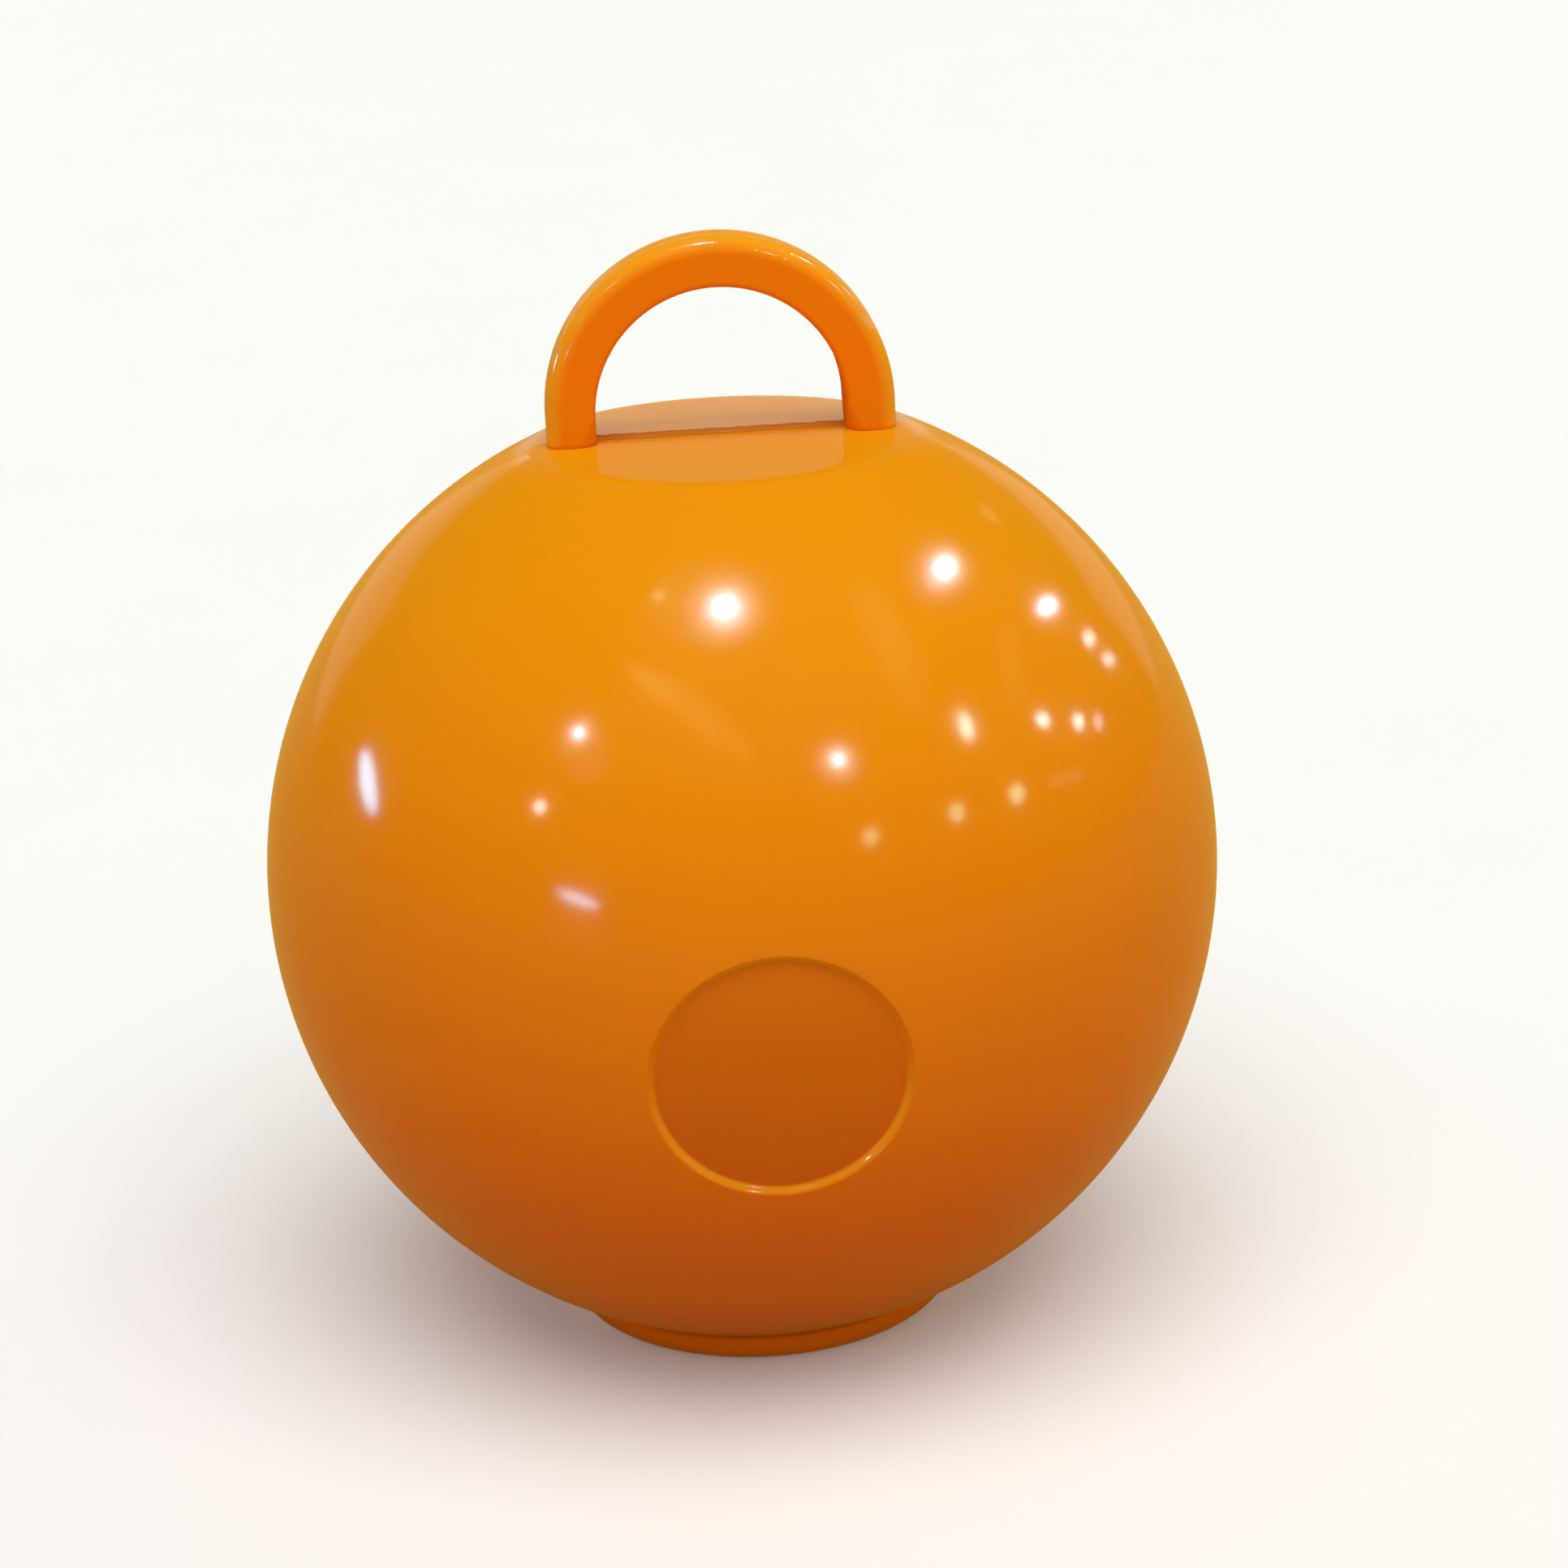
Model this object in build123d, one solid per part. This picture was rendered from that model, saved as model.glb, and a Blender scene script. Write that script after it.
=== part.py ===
from build123d import *
import os
from math import acos, asin, cos, degrees, radians, sin, sqrt, tan

# A balloon weight: a sand-filled plastic ball on a low foot, with a loop on top for the ribbons.
# The ball, its loop and its foot are one blow-moulded shell. Sand goes in through the mouth in the
# foot, and a snap-in plug closes it.
# Millimetres. The origin is the middle of the foot ring on the table, +Z is up, the loop lies in
# the XZ plane and the badge recess looks towards -Y.

# Ball: the round body of the shell
ball_r = 25.0
wall = 1.6
inner_round_r = 3.0  # soft corners that blow moulding leaves inside

# Crown: two flats on top of the ball that fall away a little, as a mould's draft needs, from the line
# where the two halves of the mould meet and pinch the plastic tube shut
crown_r = 9.34  # along that line, to where the flats would meet the ball if their edge were sharp
crown_edge_r = 3.0
crown_draft_deg = 1.6
crown_t = 2.0
pinch_w = 0.7  # the trimmed weld line across the crown, between the legs of the loop
pinch_h = 0.25

# Loop: a solid flat-fronted bar, an arch on two short legs, well rounded outside and crisp inside
loop_r = 7.64  # to the middle of the bar
leg_rise = 1.34
bar_t = 2.54  # across the bar, in the plane of the loop
bar_w = 3.3  # from the front of the bar to its back
bar_outer_edge_r = 0.85
bar_inner_edge_r = 0.3
bar_edge_share = 0.45  # the most of the bar's thickness that a rounded edge may take

# Badge recess: a shallow bare disc on the front of the ball, just below its middle
badge_r = 6.26
badge_depth = 0.38
badge_drop_deg = 6.2
badge_lean_deg = 56.0  # how far the recess's side leans out from straight in

# Foot: the ring that the ball stands on
foot_r = 10.35
foot_rise = 1.7  # from the table up to where the ring meets the ball
foot_edge_r = 1.15
foot_root_r = 0.8
foot_root_share = 0.95  # the most of the foot's straight side that the rounding at its root may take

# Mouth: the filling hole inside the foot, with a step that the plug's flange sits in
mouth_r = 6.6
mouth_length = 2.4
seat_r = 7.9
seat_depth = 1.2

# Plug: a cup with a flange, held by a bead that snaps in above the mouth
flange_t = 0.8
flange_gap = 0.15
skirt_length = 4.0
skirt_t = 1.1
skirt_gap = 0.05
bead_reach = 0.3  # how far the bead stands out from the skirt
bead_gap = 0.05
bead_rise = 0.9

# Sand: loose fill that lies level in the ball
sand_level = 8.2  # above the middle of the ball
sand_gap = 0.1

overrun = 1.0  # how far a cut runs past the face that it opens

# Heights that follow from the sizes above
ball_z = foot_rise + sqrt(ball_r**2 - foot_r**2)
crown_z = ball_z + sqrt(ball_r**2 - crown_r**2)
spring_z = crown_z + leg_rise  # where the arch of the loop starts
land_z = seat_depth + mouth_length  # the flat inside the ball, round the mouth
inner_r = ball_r - wall


def ball_arc(radius, z_low, z_high):
    """Arc of a circle about the middle of the ball, from one height up to another."""
    start = degrees(asin((z_low - ball_z) / radius))
    end = degrees(asin((z_high - ball_z) / radius))
    return CenterArc((0, ball_z), radius, start, end - start)


def half_width(radius, z):
    """Half the width of a circle about the middle of the ball, at one height."""
    return sqrt(radius**2 - (z - ball_z) ** 2)


def outline(*corners):
    """Straight lines from corner to corner of a turned profile."""
    for start, end in zip(corners, corners[1:]):
        Line(start, end)


def round_corner(profile, corner, radius):
    """Fillet the corner of a turned profile that lies nearest to a point."""
    fillet(profile.vertices().sort_by_distance(corner)[0], radius)


def make_ball_body():
    """Solid outside of the ball and its foot. The front half gets its flat of the crown, and the back
    half is its mirror image."""
    foot_corner = (foot_r, 0)
    foot_root = (foot_r, foot_rise)
    root_turn = acos(foot_r / ball_r)  # from the foot's side to the ball
    most_root_r = foot_root_share * (foot_rise - foot_edge_r) / tan(root_turn / 2)
    top_z = crown_z + overrun
    draft = radians(crown_draft_deg)
    flat = Plane((0, 0, crown_z), z_dir=(0, -sin(draft), cos(draft)))
    with BuildPart() as front:
        with BuildSketch(Plane.XZ) as profile:
            with BuildLine():
                outline((0, top_z), (0, 0), foot_corner, foot_root)
                ball_arc(ball_r, foot_rise, top_z)
                outline((half_width(ball_r, top_z), top_z), (0, top_z))
            make_face()
            round_corner(profile, foot_corner, foot_edge_r)
            round_corner(profile, foot_root, min(foot_root_r, most_root_r))
        revolve(axis=Axis.Z)
        split(bisect_by=Plane.XZ, keep=Keep.TOP)
        split(bisect_by=flat, keep=Keep.BOTTOM)
        crown = front.faces().sort_by(Axis.Z)[-1]
        fillet(crown.edges().filter_by(GeomType.CIRCLE), crown_edge_r)
    return front.part + mirror(front.part, about=Plane.XZ)


def make_cavity():
    """Inside of the ball, the mouth below it and the step for the plug's flange."""
    ceiling_z = crown_z - crown_t
    ceiling_edge = (half_width(inner_r, ceiling_z), ceiling_z)
    land_edge = (half_width(inner_r, land_z), land_z)
    with BuildPart() as cavity:
        with BuildSketch(Plane.XZ) as profile:
            with BuildLine():
                outline(
                    ceiling_edge,
                    (0, ceiling_z),
                    (0, -overrun),
                    (seat_r, -overrun),
                    (seat_r, seat_depth),
                    (mouth_r, seat_depth),
                    (mouth_r, land_z),
                    land_edge,
                )
                ball_arc(inner_r, land_z, ceiling_z)
            make_face()
            round_corner(profile, ceiling_edge, inner_round_r)
            round_corner(profile, land_edge, inner_round_r)
        revolve(axis=Axis.Z)
    return cavity.part


def make_loop():
    """Bar carried up one leg, over the arch and down the other leg into the crown."""
    root_z = crown_z - crown_t / 2
    most_r = bar_edge_share * min(bar_t, bar_w)
    with BuildPart() as loop:
        with BuildLine(Plane.XZ):
            Line((-loop_r, root_z), (-loop_r, spring_z))
            ThreePointArc((-loop_r, spring_z), (0, spring_z + loop_r), (loop_r, spring_z))
            Line((loop_r, spring_z), (loop_r, root_z))
        with BuildSketch(Plane((-loop_r, 0, root_z))) as section:
            Rectangle(bar_t, bar_w)
            fillet(section.vertices().group_by(Axis.X)[0], min(bar_outer_edge_r, most_r))
            fillet(section.vertices().group_by(Axis.X)[-1], min(bar_inner_edge_r, most_r))
        sweep()
    return loop.part


def make_pinch_line():
    """Low rounded ridge on the crown, from one leg of the loop to the other."""
    with BuildPart() as ridge:
        with BuildSketch(Plane((-loop_r, 0, crown_z), x_dir=(0, 1, 0), z_dir=(1, 0, 0))):
            Ellipse(pinch_w / 2, pinch_h)
        extrude(amount=2 * loop_r)
    return ridge.part


def make_badge_cut():
    """Disc that sinks into the front of the ball, with a sloping side that has the disc's radius half
    way down and a floor that follows the ball's curve."""
    drop = radians(badge_drop_deg)
    facing = Plane((0, 0, ball_z), z_dir=(0, -cos(drop), -sin(drop)))
    half_way = half_width(ball_r - badge_depth / 2, ball_z + badge_r)
    start, end = half_way - overrun, ball_r + overrun
    lean = tan(radians(badge_lean_deg))
    disc = Cone(
        badge_r + (start - half_way) * lean,
        badge_r + (end - half_way) * lean,
        end - start,
        align=(Align.CENTER, Align.CENTER, Align.MIN),
    )
    return facing * (Pos(0, 0, start) * disc - Sphere(ball_r - badge_depth))


def make_ball_shell():
    """The blow-moulded shell: ball, crown, loop, weld line, badge recess and foot in one piece."""
    outside = make_ball_body() + make_loop() + make_pinch_line()
    return outside - make_cavity() - make_badge_cut()


skirt_r = mouth_r - skirt_gap
cup_r = skirt_r - skirt_t
skirt_top_z = seat_depth + skirt_length


def make_base_plug():
    """Cup that fills the mouth, with its flange in the step and its bead above the land."""
    flange_r = seat_r - flange_gap
    bead_z = land_z + bead_gap
    with BuildPart() as plug:
        with BuildSketch(Plane.XZ):
            with BuildLine():
                outline(
                    (0, seat_depth),
                    (0, seat_depth - flange_t),
                    (flange_r, seat_depth - flange_t),
                    (flange_r, seat_depth),
                    (skirt_r, seat_depth),
                    (skirt_r, bead_z),
                    (skirt_r + bead_reach, bead_z + bead_reach),
                    (skirt_r, bead_z + bead_rise),
                    (skirt_r, skirt_top_z),
                    (cup_r, skirt_top_z),
                    (cup_r, seat_depth),
                    (0, seat_depth),
                )
            make_face()
        revolve(axis=Axis.Z)
    return plug.part


def make_sand_ballast():
    """Fill that lies on the land and in the plug's cup, with a level top."""
    sand_r = inner_r - sand_gap
    level_z = ball_z + sand_level
    plug_clear_r = skirt_r + bead_reach + sand_gap
    plug_clear_z = skirt_top_z + sand_gap
    land_edge = (half_width(sand_r, land_z), land_z)
    with BuildPart() as sand:
        with BuildSketch(Plane.XZ) as profile:
            with BuildLine():
                outline(
                    (half_width(sand_r, level_z), level_z),
                    (0, level_z),
                    (0, seat_depth),
                    (cup_r - sand_gap, seat_depth),
                    (cup_r - sand_gap, plug_clear_z),
                    (plug_clear_r, plug_clear_z),
                    (plug_clear_r, land_z),
                    land_edge,
                )
                ball_arc(sand_r, land_z, level_z)
            make_face()
            round_corner(profile, land_edge, inner_round_r + sand_gap)
        revolve(axis=Axis.Z)
    return sand.part


nodes = {
    "ball_shell": make_ball_shell(),
    "sand_ballast": make_sand_ballast(),
    "base_plug": make_base_plug(),
}

os.makedirs("parts", exist_ok=True)
for name, shape in nodes.items():
    export_step(shape, f"parts/{name}.step")
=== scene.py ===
import bpy
import numpy as np
from mathutils import Matrix, Vector


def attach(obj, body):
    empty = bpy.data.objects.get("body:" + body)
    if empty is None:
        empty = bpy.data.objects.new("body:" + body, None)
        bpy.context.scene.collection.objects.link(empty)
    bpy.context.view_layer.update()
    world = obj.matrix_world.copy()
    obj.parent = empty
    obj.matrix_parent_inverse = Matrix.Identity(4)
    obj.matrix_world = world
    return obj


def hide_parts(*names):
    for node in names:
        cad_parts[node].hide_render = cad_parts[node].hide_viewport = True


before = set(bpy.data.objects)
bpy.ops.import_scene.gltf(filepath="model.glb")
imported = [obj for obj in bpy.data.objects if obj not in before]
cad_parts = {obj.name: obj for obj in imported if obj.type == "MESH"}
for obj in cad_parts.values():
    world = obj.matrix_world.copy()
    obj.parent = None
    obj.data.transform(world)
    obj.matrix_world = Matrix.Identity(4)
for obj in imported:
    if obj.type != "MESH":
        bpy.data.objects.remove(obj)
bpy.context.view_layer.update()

# Ball shell
# The hollow ball with its crown of two flats, its foot ring and the filling mouth inside the foot.
# It is blow-moulded in glossy orange polyethylene, in one piece with the loop on its crown.
ball_r = 0.02499  # a hair less than the solid's, so that the facets of both stay in the same box
wall = 0.0016
inner_round_r = 0.003
crown_r = 0.00934
crown_edge_r = 0.003
crown_draft = np.radians(1.6)
crown_t = 0.002
foot_r = 0.01035
foot_rise = 0.0017
foot_edge_r = 0.00115
foot_root_r = 0.0008
seat_r = 0.0079
seat_depth = 0.0012
seat_edge_r = 0.0002
mouth_r = 0.0066
mouth_length = 0.0024
badge_r = 0.00626
badge_depth = 0.00038
badge_drop = np.radians(6.2)
badge_rim = 0.00034  # width of the sloping edge of the recess
ball_columns = 288
flat_rows, edge_rows, bare_rows = 20, 14, 100
badge_window = np.radians(20)  # half the stretch of ball that is meshed anew round the recess
ball_z = foot_rise + np.sqrt(ball_r**2 - foot_r**2)
crown_z = ball_z + np.sqrt(ball_r**2 - crown_r**2)
land_z = seat_depth + mouth_length
root_reach = foot_r + foot_root_r  # the middle of the soft corner between the foot and the ball
root_z = ball_z - np.sqrt((ball_r + foot_root_r) ** 2 - root_reach**2)
root_angle = np.arctan2(root_z - ball_z, root_reach)


def run(start, end, steps):
    """Evenly spaced points of a straight line in a profile's plane, (radius, height) each."""
    return np.linspace(start, end, steps)


def arc(centre, radius, start, end, steps):
    """Points of a circular arc in a profile's plane: the centre plus the radius times (cos, sin)."""
    angle = np.linspace(start, end, steps)
    return np.array(centre) + radius * np.stack([np.cos(angle), np.sin(angle)], axis=1)


def joined(*stretches):
    """One profile from stretches that start where the one before them ends."""
    return np.concatenate([stretches[0]] + [stretch[1:] for stretch in stretches[1:]])


def spun(radius, height):
    """Rings of points: each row of radii and heights, one for each column, goes once round the upright
    axis, from +Y."""
    angle = column_angles(radius.shape[1])
    return np.stack([radius * np.cos(angle), radius * np.sin(angle), height], axis=2)


def column_angles(columns):
    """Directions of the columns round the upright axis, evenly from +Y."""
    return np.linspace(0, 2 * np.pi, columns, endpoint=False) + np.pi / 2


def turned(profile, columns):
    """Rings of a solid of revolution: each point of a profile goes once round the upright axis."""
    return spun(*(np.repeat(profile[:, i : i + 1], columns, axis=1) for i in (0, 1)))


def ring_quads(rings, columns):
    """Corner numbers of the faces between neighbouring rings, as an array of rings by columns by 4."""
    corner = np.arange(rings * columns).reshape(rings, columns)
    after = np.roll(corner, -1, axis=1)
    return np.stack([corner[:-1], corner[1:], after[1:], after[:-1]], axis=2)


def end_fans(rings, columns):
    """Triangles that close the first and the last ring on the two points that follow the rings."""
    first = np.arange(columns)
    last = first + (rings - 1) * columns
    top = np.full(columns, rings * columns)
    upper = np.stack([top, first, np.roll(first, -1)], axis=1)
    lower = np.stack([top + 1, np.roll(last, -1), last], axis=1)
    return np.concatenate([upper, lower])


def add_piece(name, points, faces, sharp_deg=40):
    """A smooth-shaded mesh object at the origin, with edges sharp where it turns by more than an angle."""
    mesh = bpy.data.meshes.new(name)
    mesh.from_pydata(points.tolist(), [], [face.tolist() for block in faces for face in block])
    mesh.polygons.foreach_set("use_smooth", np.ones(len(mesh.polygons), bool))
    mesh.set_sharp_from_angle(angle=np.radians(sharp_deg))
    piece = bpy.data.objects.new(name, mesh)
    bpy.context.scene.collection.objects.link(piece)
    return piece


def closed_skin(name, rings, sharp_deg=40):
    """A closed mesh over a stack of rings, each end drawn to the middle of its last ring."""
    count, columns = rings.shape[:2]
    ends = [rings[0].mean(axis=0), rings[-1].mean(axis=0)]
    points = np.concatenate([rings.reshape(-1, 3), ends])
    quads = ring_quads(count, columns).reshape(-1, 4)
    return add_piece(name, points, [quads, end_fans(count, columns)], sharp_deg)


def crown_rows(columns):
    """Rows of radii and heights over the crown and down the bare ball to the foot's root, a column for
    each direction. In each direction the flat leans by the draft times the sine of that direction, so
    the flat, its rounded edge and the ball are drawn as if level and turned by the lean about the middle
    of the ball."""
    lean = np.arctan(np.tan(crown_draft) * np.abs(np.sin(column_angles(columns))))
    flat_z = (crown_z - ball_z) * np.cos(lean)
    edge_z = flat_z - crown_edge_r
    edge_x = np.sqrt((ball_r - crown_edge_r) ** 2 - edge_z**2)
    edge_angle = np.arctan2(edge_z, edge_x)
    axis_x = (crown_r / 40 - flat_z * np.sin(lean)) / np.cos(lean)
    up = np.full(columns, np.pi / 2)
    rounding = np.linspace(up, edge_angle, edge_rows)[1:]
    flat_x = np.linspace(axis_x, edge_x, flat_rows)
    x = np.concatenate([flat_x, edge_x + crown_edge_r * np.cos(rounding)])
    z = np.concatenate([np.tile(flat_z, (flat_rows, 1)), edge_z + crown_edge_r * np.sin(rounding)])
    radius = x * np.cos(lean) + z * np.sin(lean)
    height = ball_z + z * np.cos(lean) - x * np.sin(lean)
    bare = np.linspace(edge_angle - lean, np.full(columns, root_angle), bare_rows)[1:]
    return (
        np.concatenate([radius, ball_r * np.cos(bare)]),
        np.concatenate([height, ball_z + ball_r * np.sin(bare)]),
        range(len(radius), len(radius) + len(bare)),
    )


def lower_profile():
    """Half section of the rest of the shell, from the foot's root round the foot, in at the mouth and
    back up the inside to the middle of the ceiling. Each rounded corner is an arc that touches both its
    neighbours: its centre is one radius inside the straight side, and one inside the ball or outside it."""
    inner_r = ball_r - wall
    ceiling_z = crown_z - crown_t

    def corner(radius, height):
        """Where an arc's centre lies at a distance from the middle of the ball, and its direction."""
        centre = (np.sqrt(radius**2 - (height - ball_z) ** 2), height)
        return centre, np.arctan2(height - ball_z, centre[0])

    land, land_angle = corner(inner_r - inner_round_r, land_z + inner_round_r)
    ceiling, ceiling_angle = corner(inner_r - inner_round_r, ceiling_z - inner_round_r)
    up, down, inward = np.pi / 2, -np.pi / 2, np.pi
    return joined(
        arc((root_reach, root_z), foot_root_r, inward + root_angle, inward, 12),
        run((foot_r, root_z), (foot_r, foot_edge_r), 3),
        arc((foot_r - foot_edge_r, foot_edge_r), foot_edge_r, 0, down, 9),
        run((foot_r - foot_edge_r, 0), (seat_r + seat_edge_r, 0), 4),
        arc((seat_r + seat_edge_r, seat_edge_r), seat_edge_r, down, -inward, 5),
        run((seat_r, seat_edge_r), (seat_r, seat_depth), 3),
        run((seat_r, seat_depth), (mouth_r, seat_depth), 3),
        run((mouth_r, seat_depth), (mouth_r, land_z), 4),
        run((mouth_r, land_z), (land[0], land_z), 4),
        arc(land, inner_round_r, down, land_angle, 8),
        arc((0, ball_z), inner_r, land_angle, ceiling_angle, 40),
        arc(ceiling, inner_round_r, ceiling_angle, up, 8),
        run((ceiling[0], ceiling_z), (crown_r / 40, ceiling_z), 4),
    )


def badge_patch(border):
    """Rings that lead from a border on the bare ball to the middle of the badge recess. A point is at
    an angle off the recess's axis and a turn about it; its distance from the middle of the ball falls
    by the recess's depth, along a smooth S, across the sloping edge."""
    facing = np.array([0, -np.cos(badge_drop), -np.sin(badge_drop)])
    across = np.array([1.0, 0, 0])
    upward = np.cross(facing, across)
    from_middle = border - [0, 0, ball_z]
    turn = np.arctan2(from_middle @ upward, from_middle @ across)
    border_angle = np.arccos(from_middle @ facing / ball_r)
    edge_angle = np.arcsin(badge_r / ball_r)
    half_rim = badge_rim / 2 / ball_r
    outside = np.linspace(0, 1, 9)[1:, None]
    outer = border_angle + (edge_angle + half_rim - border_angle) * outside
    rim = np.linspace(edge_angle + half_rim, edge_angle - half_rim, 17)[1:]
    floor = np.linspace(edge_angle - half_rim, edge_angle / 30, 24)[1:]
    off_axis = np.concatenate([outer, np.repeat(np.r_[rim, floor][:, None], len(turn), axis=1)])
    share = np.clip((edge_angle + half_rim - off_axis) / (2 * half_rim), 0, 1)
    depth = badge_depth * share**2 * (3 - 2 * share)
    sideways = np.cos(turn)[:, None] * across + np.sin(turn)[:, None] * upward
    direction = np.cos(off_axis)[..., None] * facing + np.sin(off_axis)[..., None] * sideways
    middle = (ball_r - badge_depth) * facing
    return (ball_r - depth)[..., None] * direction + [0, 0, ball_z], middle + [0, 0, ball_z]


def ball_mesh():
    """The shell's rings with a window in front, filled by rings that close in on the badge recess."""
    radius, height, bare_ball = crown_rows(ball_columns)
    rings = np.concatenate([spun(radius, height), turned(lower_profile()[1:], ball_columns)])
    count = len(rings)
    tilt = np.arcsin((rings[:, ball_columns // 2, 2] - ball_z).clip(-ball_r, ball_r) / ball_r)
    inside = [i for i in bare_ball if abs(tilt[i] + badge_drop) < badge_window]
    upper, lower = inside[0], inside[-1]
    reach = round(badge_window / (2 * np.pi) * ball_columns)
    left, right = ball_columns // 2 - reach, ball_columns // 2 + reach
    number = np.arange(count * ball_columns).reshape(count, ball_columns)
    border = np.concatenate([
        number[lower, left:right],
        number[lower:upper:-1, right],
        number[upper, right:left:-1],
        number[upper:lower, left],
    ])
    points = rings.reshape(-1, 3)
    patch, middle = badge_patch(points[border])
    quads = ring_quads(count, ball_columns)
    keep = np.ones(quads.shape[:2], bool)
    keep[upper:lower, left:right] = False
    ends = [rings[0].mean(axis=0), rings[-1].mean(axis=0)]
    start = len(points) + len(ends)
    patch_number = np.arange(patch[..., 0].size).reshape(patch.shape[:2]) + start
    patch_number = np.concatenate([border[None], patch_number])
    after = np.roll(patch_number, -1, axis=1)
    patch_quads = np.stack([patch_number[:-1], after[:-1], after[1:], patch_number[1:]], axis=2)
    hub = np.full(len(border), start + patch[..., 0].size)
    hub_fan = np.stack([patch_number[-1], after[-1], hub], axis=1)
    all_points = np.concatenate([points, ends, patch.reshape(-1, 3), [middle]])
    faces = [quads[keep], patch_quads.reshape(-1, 4), end_fans(count, ball_columns), hub_fan]
    used = np.unique(np.concatenate([block.ravel() for block in faces]))
    renumber = np.zeros(len(all_points), int)
    renumber[used] = np.arange(len(used))
    return all_points[used], [renumber[block] for block in faces]


class Tone:
    """A value or a colour over a surface: it wraps a node socket, and arithmetic on it adds Math nodes."""

    def __init__(self, tree, socket):
        self.tree = tree
        self.socket = socket

    def add(self, kind, settings=None, inputs=None, output=0):
        """Adds a node, sets it up, fills its sockets with values or links and gives one output."""
        node = self.tree.nodes.new(kind)
        for key, value in (settings or {}).items():
            setattr(node, key, value)
        for key, value in (inputs or {}).items():
            if isinstance(value, Tone):
                self.tree.links.new(value.socket, node.inputs[key])
            else:
                node.inputs[key].default_value = value
        return Tone(self.tree, node.outputs[output])

    def math(self, operation, first, second):
        return self.add("ShaderNodeMath", {"operation": operation}, {0: first, 1: second})

    def __add__(self, other):
        return self.math("ADD", self, other)

    def __sub__(self, other):
        return self.math("SUBTRACT", self, other)

    def __rsub__(self, other):
        return self.math("SUBTRACT", other, self)

    def __mul__(self, other):
        return self.math("MULTIPLY", self, other)

    __radd__ = __add__
    __rmul__ = __mul__

    def noise(self, scale, detail=2.0):
        """Cloudy noise from 0 to 1, with so many clouds to the metre."""
        return self.add("ShaderNodeTexNoise", None, {"Vector": self, "Scale": scale, "Detail": detail})

    def step(self, low, high):
        """0 below one value, 1 above another and a smooth rise between them."""
        return self.add(
            "ShaderNodeMapRange",
            {"interpolation_type": "SMOOTHSTEP"},
            {"Value": self, "From Min": low, "From Max": high},
        )

    def between(self, first, second):
        """A colour that goes from one to another as this value goes from 0 to 1."""
        start, end = (c if isinstance(c, Tone) else (*c, 1) for c in (first, second))
        return self.add("ShaderNodeMix", {"data_type": "RGBA"}, {0: self, 6: start, 7: end}, 2)

    def relief(self, distance, under=None):
        """Bump of that height in metres, on top of another bump if there is one."""
        inputs = {"Height": self, "Distance": distance, "Strength": 1.0}
        if under:
            inputs["Normal"] = under
        return self.add("ShaderNodeBump", None, inputs)


def new_finish(name):
    """A material with its Principled shader, and the place on the piece in metres."""
    material = bpy.data.materials.new(name)
    material.use_nodes = True
    tree = material.node_tree
    shader = tree.nodes["Principled BSDF"]
    place = tree.nodes.new("ShaderNodeTexCoord").outputs["Object"]
    return material, shader, Tone(tree, place)


def coat(shader, links, constants):
    """Links what varies over the surface to the shader, and sets what is the same all over."""
    for key, tone in links.items():
        tone.tree.links.new(tone.socket, shader.inputs[key])
    for key, value in constants.items():
        shader.inputs[key].default_value = value


smudge_scale = 70.0  # clouds to the metre, of each kind
scuff_scale = 900.0
wave_scale = 120.0
grain_scale = 2600.0
wave_height = 0.00006
grain_height = 0.000004
smudge_dulls = 0.25  # share of the shine that a smudge or a scuff takes away
scuff_dulls = 0.2
skin_roughness = 0.115


def moulded_orange(name, colour_of, gloss_of, constants=None):
    """Pigmented plastic as it leaves the mould: clouded a little by the melt's flow, waved a little as
    blown walls are, under a clear, hard skin that smudges and hairline scuffs dull in places."""
    material, shader, place = new_finish(name)
    smudge = place.noise(smudge_scale, 4.0).step(0.5, 0.75)
    scuff = place.noise(scuff_scale, 5.0).step(0.62, 0.8)
    wave = place.noise(wave_scale, 1.0).relief(wave_height)
    grain = place.noise(grain_scale, 3.0).relief(grain_height, wave)
    coat(
        shader,
        {
            "Base Color": colour_of(place),
            "Coat Weight": gloss_of(place) * (1 - smudge * smudge_dulls - scuff * scuff_dulls),
            "Normal": grain,
        },
        {
            "Roughness": 0.35,
            "IOR": 1.5,
            "Specular IOR Level": 0.0,
            "Coat Roughness": skin_roughness,
            "Coat IOR": 1.5,
            **(constants or {}),
        },
    )
    return material


def height_on(place):
    """Height above the table, in metres."""
    return place.add("ShaderNodeSeparateXYZ", None, {0: place}, "Z")


# Tones of the ball, with painted light and shade among them: brighter towards the top, shaded and redder
# underneath, lighter in the foot, darker in the groove over it, a highlight on the badge's lower edge and a
# shadow behind the weld line.
deep_orange = (0.80, 0.125, 0.002)
top_lit_orange = (0.88, 0.31, 0.003)
shaded_orange = (0.63, 0.086, 0.002)
underside_shade_orange = (0.59, 0.002, 0.0005)
foot_painted_light = (0.98, 0.19, 0.002)
groove_shade_tone = (0.4, 0.004, 0.001)
badge_floor_tone = (0.4, 0.05, 0.001)
badge_edge_highlight = (0.74, 0.32, 0.008)
weld_shadow_tone = (0.35, 0.12, 0.05)
flow_scale = 140.0
flow_share = 0.1
groove_shade_share = 0.6  # how far the surface goes over to each tone
badge_floor_share = 0.33
badge_highlight_share = 0.7
weld_shadow_share = 0.12
top_light_heights = (0.008, 0.052)  # heights between which one tone goes over to the next
shading = (0.004, 0.02)
underside_shade_heights = (0.001, 0.0085)
foot_top = (0.0012, 0.0022)
groove_bottom = (0.0014, 0.002)
groove_top = (0.0024, 0.0036)
crown_bottom = (0.047, 0.0473)
weld_shadow_front = (0.0003, 0.0006)  # and distances behind the weld line
weld_shadow_back = (0.0042, 0.0046)


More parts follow.
